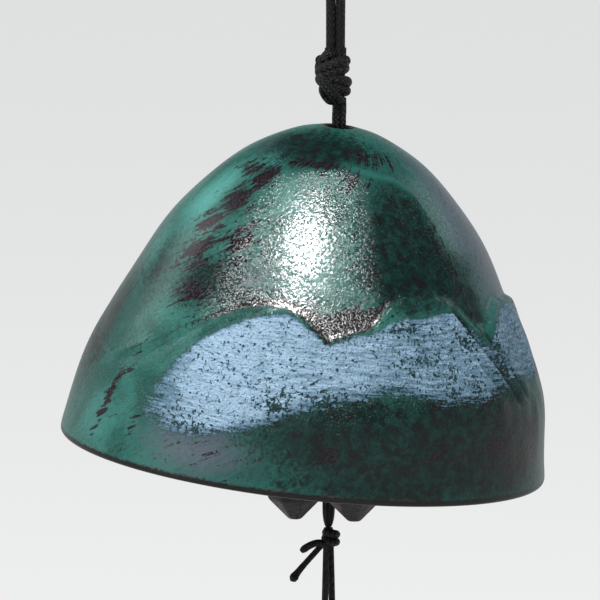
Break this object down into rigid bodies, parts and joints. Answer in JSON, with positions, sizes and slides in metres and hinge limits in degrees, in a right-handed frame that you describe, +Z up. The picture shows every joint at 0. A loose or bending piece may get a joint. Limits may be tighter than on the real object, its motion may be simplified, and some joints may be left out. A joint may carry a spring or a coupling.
{
  "type": "furin wind bell",
  "caption": "Hanging cast-iron furin wind bell with a relief mountain range, knotted cord, lobed clapper and plain paper strip.",
  "frame": {"origin": "the inner top of the hanging loop, where a hook carries the bell", "axes": "+Z up, -Y out of the front with the tallest peaks, +X to the right seen from the front"},
  "size_m": [0.0805, 0.081, 0.2307],
  "materials": {
    "bell_iron": "verdigris-green paint over cast iron, rubbed dark at the edges, pale blue-white dry brushing on the mountains, glossy clear coat",
    "clapper_iron": "dark satin",
    "cord": "black waxed braid",
    "strip_paper": "plain matt paper"
  },
  "bodies": {
    "hanger": {"hanging_loop": "cord"},
    "upper_knot": {"top_knot": "cord", "neck_cord": "cord"},
    "stopper": {"stopper_knot": "cord"},
    "bell": {"bell": "bell_iron"},
    "clapper_line": {"clapper_cord": "cord", "cup_knot": "cord"},
    "clapper": {"clapper": "clapper_iron"},
    "tie": {"tie_knot": "cord", "tie_short_end": "cord", "tie_long_end": "cord"},
    "strip_line": {"strip_cord": "cord"},
    "strip": {"paper_strip": "strip_paper"}
  },
  "joints": [
    {"name": "loop_twist", "type": "hinge", "parent": "hanger", "child": "upper_knot", "pos_m": [0, 0, -0.0219], "axis": [0, 0, 1], "range_deg": [-180, 180]},
    {"name": "bell_swing", "type": "hinge", "parent": "upper_knot", "child": "stopper", "pos_m": [0.0006, 0, -0.0343], "axis": [0, 1, 0], "range_deg": [-36.3, 23.7]},
    {"name": "bell_turn", "type": "hinge", "parent": "stopper", "child": "bell", "pos_m": [0.0006, 0, -0.0343], "axis": [0.1097, 0, 0.994], "continuous": true},
    {"name": "clapper_swing", "type": "hinge", "parent": "stopper", "child": "clapper_line", "pos_m": [-0.00042, 0, -0.04354], "axis": [0, 1, 0], "range_deg": [-23.9, 35.1]},
    {"name": "clapper_turn", "type": "hinge", "parent": "clapper_line", "child": "clapper", "pos_m": [-0.00042, 0, -0.04354], "axis": [0.0122, 0, 0.9999], "continuous": true},
    {"name": "strip_swing", "type": "hinge", "parent": "clapper_line", "child": "tie", "pos_m": [-0.00112, 0, -0.10054], "axis": [-0.766, 0.6428, 0], "range_deg": [-40, 40]},
    {"name": "strip_twist", "type": "hinge", "parent": "tie", "child": "strip_line", "pos_m": [-0.00112, 0, -0.10554], "axis": [0, 0, 1], "range_deg": [-180, 180]},
    {"name": "strip_sway", "type": "hinge", "parent": "strip_line", "child": "strip", "pos_m": [-0.00112, 0, -0.12434], "axis": [0.6428, 0.766, 0], "range_deg": [-25, 25]}
  ]
}
